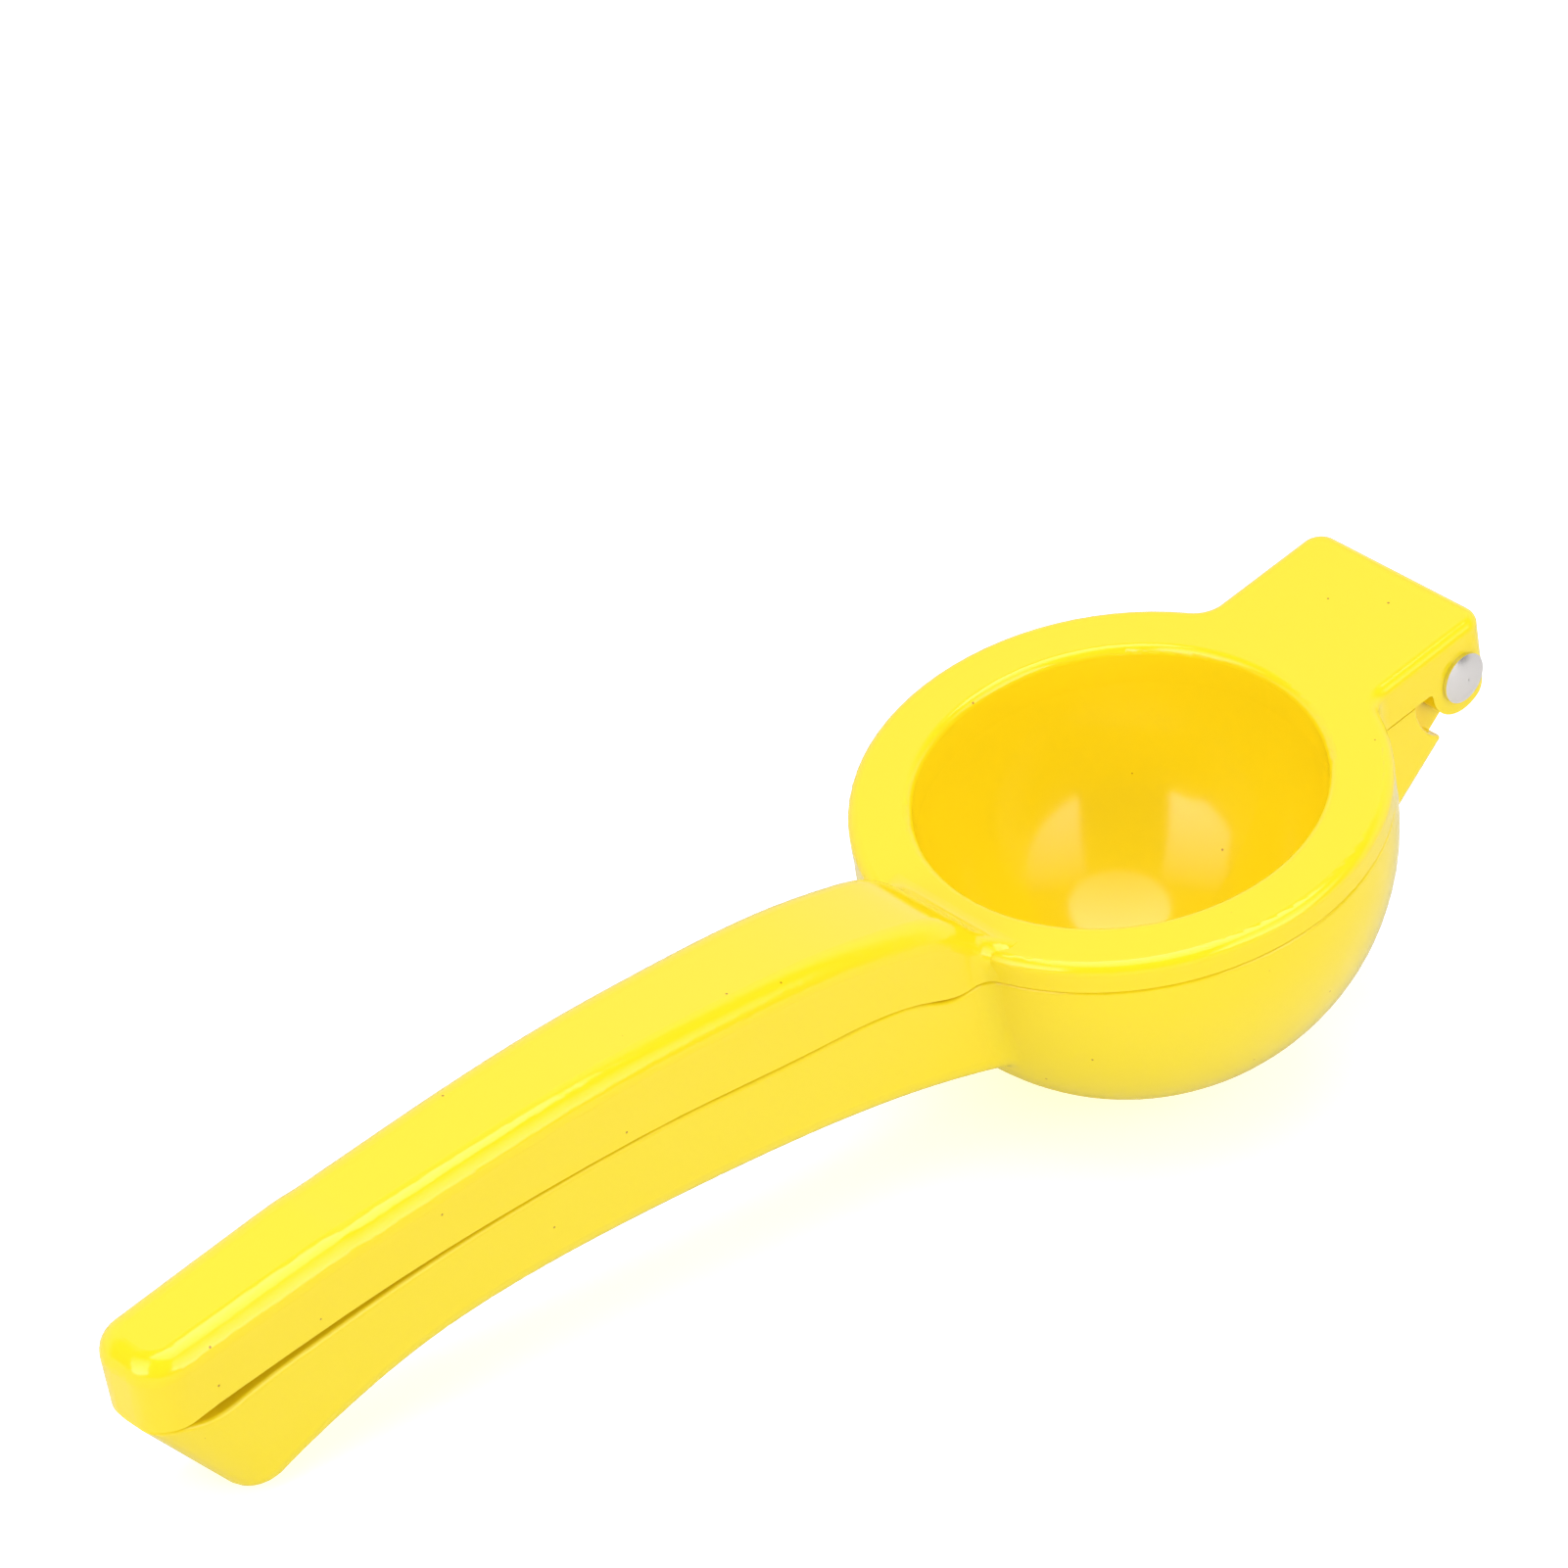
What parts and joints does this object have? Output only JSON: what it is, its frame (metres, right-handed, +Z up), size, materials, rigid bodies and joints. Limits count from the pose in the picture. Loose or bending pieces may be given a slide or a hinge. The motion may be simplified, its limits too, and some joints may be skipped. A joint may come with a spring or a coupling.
{
  "type": "hinged lemon squeezer",
  "caption": "Hand-held citrus squeezer: a cupped press half hinged on a perforated strainer bowl, with two long handles that close together.",
  "frame": {"origin": "middle of the squeezer's length and width, at the height of the bowl's lowest point, with the squeezer closed and the bowl down", "axes": "+X from the handle tips to the hinge, +Y along the hinge pin, +Z up the bowl's axis from the bowl to the flat top of the press ring"},
  "size_m": [0.2246, 0.072, 0.0712],
  "materials": {
    "enamel": "glossy",
    "rivet_steel": "satin"
  },
  "bodies": {
    "strainer": {"strainer_half": "enamel"},
    "press": {"press_half": "enamel", "hinge_pin": "rivet_steel"}
  },
  "joints": [
    {"name": "press_hinge", "type": "hinge", "parent": "strainer", "child": "press", "pos_m": [0.10665, 0, 0.03578], "axis": [0, 1, 0], "range_deg": [0, 145]}
  ]
}
